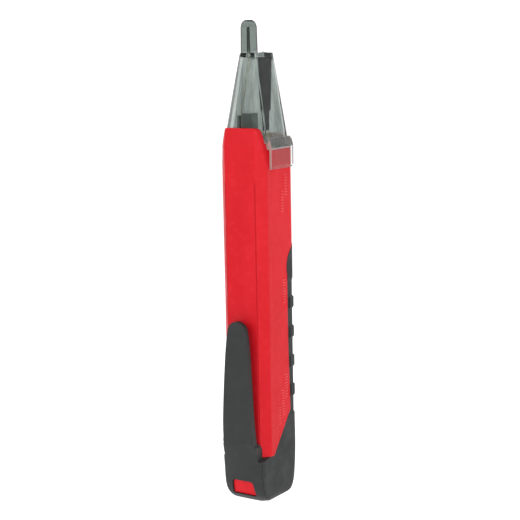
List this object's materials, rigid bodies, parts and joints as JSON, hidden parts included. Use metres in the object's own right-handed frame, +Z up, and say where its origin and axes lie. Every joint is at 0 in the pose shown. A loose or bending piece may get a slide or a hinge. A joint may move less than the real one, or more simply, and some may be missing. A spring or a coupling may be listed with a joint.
{
  "type": "non contact voltage tester",
  "caption": "Pen-shaped non contact voltage tester with a smoked clear sensing nose, torch, push button, ribbed rubber grip, pocket clip and a sliding battery door.",
  "frame": {"origin": "on the flat tail face, midway across the body and midway between its front and back faces", "axes": "+Z runs up the tool from the tail to the probe tip, -Y is the front with the power button and the ribbed grip, +Y is the back with the pocket clip, and X runs across the width"},
  "size_m": [0.0212, 0.0283, 0.1778],
  "materials": {
    "shell_red": "moulded red ABS with a fine satin texture",
    "nose_clear": "smoke tinted clear polycarbonate, polished",
    "seal_rubber": "soft pale silicone seal",
    "lens_clear": "clear polished lens",
    "dark_plastic": "dark moulded plastic",
    "led_clear": "epoxy LED with a yellow phosphor",
    "contact_metal": "nickel plated spring brass",
    "board_green": "glass epoxy board with green resist",
    "screw_steel": "zinc plated steel",
    "chip_black": "black epoxy",
    "led_red": "pale epoxy that lights red",
    "led_green": "pale epoxy that lights green",
    "brass_disc": "bright brass",
    "button_rubber": "soft dark rubber",
    "inner_plastic": "plain dark ABS",
    "cell_can": "bright metal can",
    "cell_sleeve": "printed shrink sleeve with no lettering",
    "grip_rubber": "overmoulded dark grey rubber, matt",
    "door_plastic": "dark grey ABS with a fine satin texture",
    "tab_red": "moulded red ABS"
  },
  "bodies": {
    "handle": {"battery_tube": "inner_plastic", "board_screws": "screw_steel", "button_bezel": "shell_red", "buzzer_case": "chip_black", "buzzer_disc": "brass_disc", "chip_parts": "chip_black", "control_chip": "chip_black", "front_shell": "shell_red", "indicator_led_green": "led_green", "indicator_led_red": "led_red", "main_board": "board_green", "nose": "nose_clear", "nose_seal": "seal_rubber", "rear_shell": "shell_red", "return_strip": "contact_metal", "rubber_grip": "grip_rubber", "sensor_holder": "dark_plastic", "sensor_rod": "contact_metal", "switch_body": "chip_black", "switch_cover": "contact_metal", "tail_screws": "screw_steel", "torch_funnel": "dark_plastic", "torch_led": "led_clear", "torch_lens": "lens_clear", "upper_contact": "contact_metal"},
    "button": {"power_button": "button_rubber"},
    "plunger": {"switch_plunger": "dark_plastic"},
    "cells": {"lower_cell": "cell_can", "lower_cell_sleeve": "cell_sleeve", "upper_cell": "cell_can", "upper_cell_sleeve": "cell_sleeve"},
    "door": {"battery_door": "door_plastic", "door_contact": "contact_metal", "door_spring": "screw_steel", "release_spring": "screw_steel"},
    "tab": {"release_tab": "tab_red"},
    "clip": {"pocket_clip": "door_plastic"}
  },
  "joints": [
    {"name": "power_button_press", "type": "slide", "parent": "handle", "child": "button", "axis": [0, 1, 0], "range_m": [0, 0.0005], "stiffness_N_per_m": 2500},
    {"name": "switch_plunger_press", "type": "slide", "parent": "handle", "child": "plunger", "axis": [0, 1, 0], "range_m": [0, 0.0005]},
    {"name": "battery_door_slide", "type": "slide", "parent": "handle", "child": "door", "axis": [0, 0, -1], "range_m": [0, 0.098]},
    {"name": "battery_cells_slide", "type": "slide", "parent": "handle", "child": "cells", "axis": [0, 0, -1], "range_m": [0, 0.098]},
    {"name": "release_tab_press", "type": "slide", "parent": "door", "child": "tab", "axis": [0, -1, 0], "range_m": [0, 0.0008], "stiffness_N_per_m": 400},
    {"name": "pocket_clip_flex", "type": "hinge", "parent": "door", "child": "clip", "pos_m": [0, 0.0143, 0.0243], "axis": [-1, 0, 0], "range_deg": [0, 4], "stiffness_Nm_per_rad": 0.6}
  ],
  "couplings": [
    {"joint": "switch_plunger_press", "follows": "power_button_press", "ratio": 1},
    {"joint": "battery_cells_slide", "follows": "battery_door_slide", "ratio": 1}
  ]
}
